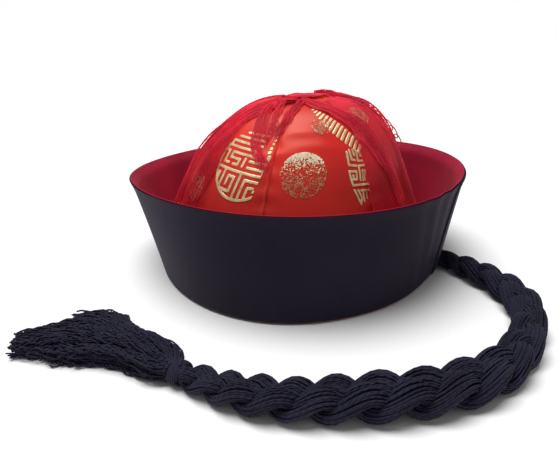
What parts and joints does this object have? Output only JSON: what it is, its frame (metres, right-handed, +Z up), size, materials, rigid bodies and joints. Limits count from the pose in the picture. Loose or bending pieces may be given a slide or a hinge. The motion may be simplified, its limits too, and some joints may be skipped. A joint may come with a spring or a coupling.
{
  "type": "mandarin hat with a plaited queue",
  "caption": "Costume cap with a flared cloth band, a gored satin crown under a net tassel, and a long yarn plait lying beside it.",
  "frame": {"origin": "centre of the hat's bounding box on the surface that it rests on, without the queue", "axes": "+Z up along the crown's axis, +X towards the back, where the queue is sewn, and -X towards the front"},
  "size_m": [0.2611, 0.2788, 0.1093],
  "materials": {
    "band_cloth": "matte black cotton",
    "lining_cloth": "matte dark red cotton",
    "satin": "red satin",
    "net": "crimson sheer net",
    "yarn": "black yarn",
    "gold_foil": "gold foil print"
  },
  "bodies": {
    "root": {"brim_shell": "band_cloth", "brim_lining": "lining_cloth", "crown_gore_1": "satin", "crown_gore_2": "satin", "crown_gore_3": "satin", "crown_gore_4": "satin", "crown_gore_5": "satin", "crown_gore_6": "satin", "crown_tassel": "net", "braid_strand_1": "yarn", "braid_strand_2": "yarn", "braid_strand_3": "yarn", "braid_tie": "yarn", "braid_tassel": "yarn"}
  },
  "joints": []
}
